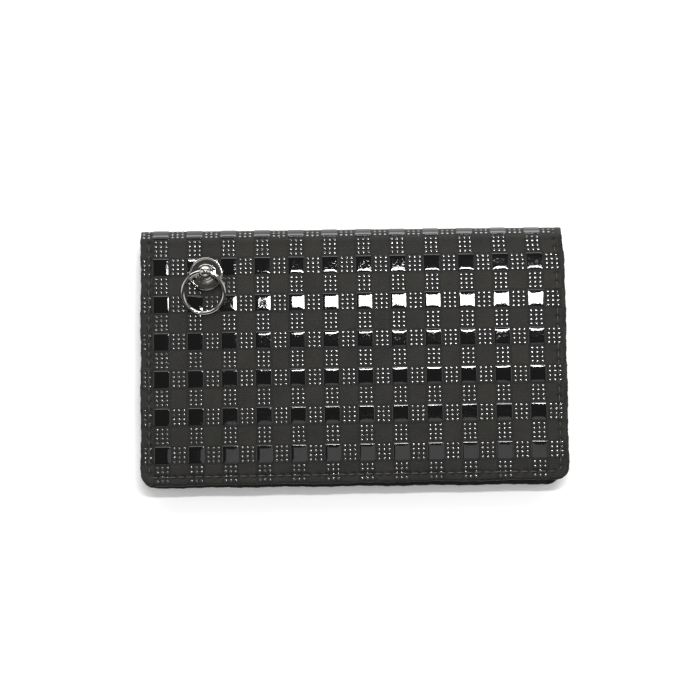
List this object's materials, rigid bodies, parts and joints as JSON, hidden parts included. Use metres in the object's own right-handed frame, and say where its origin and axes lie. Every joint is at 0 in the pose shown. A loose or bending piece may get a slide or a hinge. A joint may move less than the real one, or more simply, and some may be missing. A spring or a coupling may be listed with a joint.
{
  "type": "chain wallet",
  "caption": "Long flap wallet in matte black leather with raised glossy checks, opening on a rounded fold, with a ring stud for a wallet chain.",
  "frame": {"origin": "middle of the closed wallet's footprint, at the height of the surface it lies on", "axes": "+X along the wallet's length, +Y from the flap's free edge to the fold, +Z out of the front of the flap"},
  "size_m": [0.171, 0.105, 0.0205],
  "materials": {
    "cover_leather": "matte charcoal coated leather with fine grain, raised glossy black squares and small glossy dots",
    "lining": "matte black woven lining",
    "pocket_leather": "matte black leather, fine grain",
    "stiffener_board": "raw brown bonded leather board",
    "thread": "black waxed polyester thread",
    "dark_nickel": "polished dark nickel plating",
    "zip_tape": "black woven tape",
    "zip_metal": "dark nickel plated zip metal"
  },
  "bodies": {
    "back": {"back_cover": "cover_leather", "back_stiffener": "stiffener_board", "back_lining": "lining", "bill_divider": "lining", "coin_pocket_back": "pocket_leather", "coin_pocket_front": "pocket_leather", "coin_pocket_top_strip": "pocket_leather", "zip_tape_lower": "zip_tape", "zip_tape_upper": "zip_tape", "zip_teeth_lower": "zip_metal", "zip_teeth_upper": "zip_metal", "zip_stop_start": "zip_metal", "zip_stop_end": "zip_metal", "back_stitching": "thread"},
    "slider": {"zip_slider": "zip_metal"},
    "pull_tab": {"zip_pull_tab": "zip_metal"},
    "spine": {"cover_spine": "cover_leather", "spine_lining": "lining"},
    "flap": {"front_cover": "cover_leather", "front_stiffener": "stiffener_board", "front_lining": "lining", "card_pocket_1": "pocket_leather", "card_pocket_2": "pocket_leather", "card_pocket_3": "pocket_leather", "card_pocket_4": "pocket_leather", "front_stitching": "thread", "stud_base": "dark_nickel", "ring_post": "dark_nickel", "post_screw": "dark_nickel"},
    "ring": {"chain_ring": "dark_nickel"}
  },
  "joints": [
    {"name": "spine_fold", "type": "hinge", "parent": "back", "child": "spine", "pos_m": [0, 0.05121, 0.00129], "axis": [-1, 0, 0], "range_deg": [0, 90]},
    {"name": "flap_fold", "type": "hinge", "parent": "spine", "child": "flap", "pos_m": [0, 0.05121, 0.01071], "axis": [-1, 0, 0], "range_deg": [0, 90]},
    {"name": "ring_swing", "type": "hinge", "parent": "flap", "child": "ring", "pos_m": [-0.0589, 0.0334, 0.0179], "axis": [-0.9945, 0.1045, 0], "range_deg": [0, 149]},
    {"name": "zip_slide", "type": "slide", "parent": "back", "child": "slider", "axis": [-1, 0, 0], "range_m": [0, 0.12]},
    {"name": "tab_swing", "type": "hinge", "parent": "slider", "child": "pull_tab", "pos_m": [0.0622, 0.033, 0.0064], "axis": [0, 1, 0], "range_deg": [0, 6]}
  ],
  "couplings": [
    {"joint": "flap_fold", "follows": "spine_fold", "ratio": 1}
  ]
}
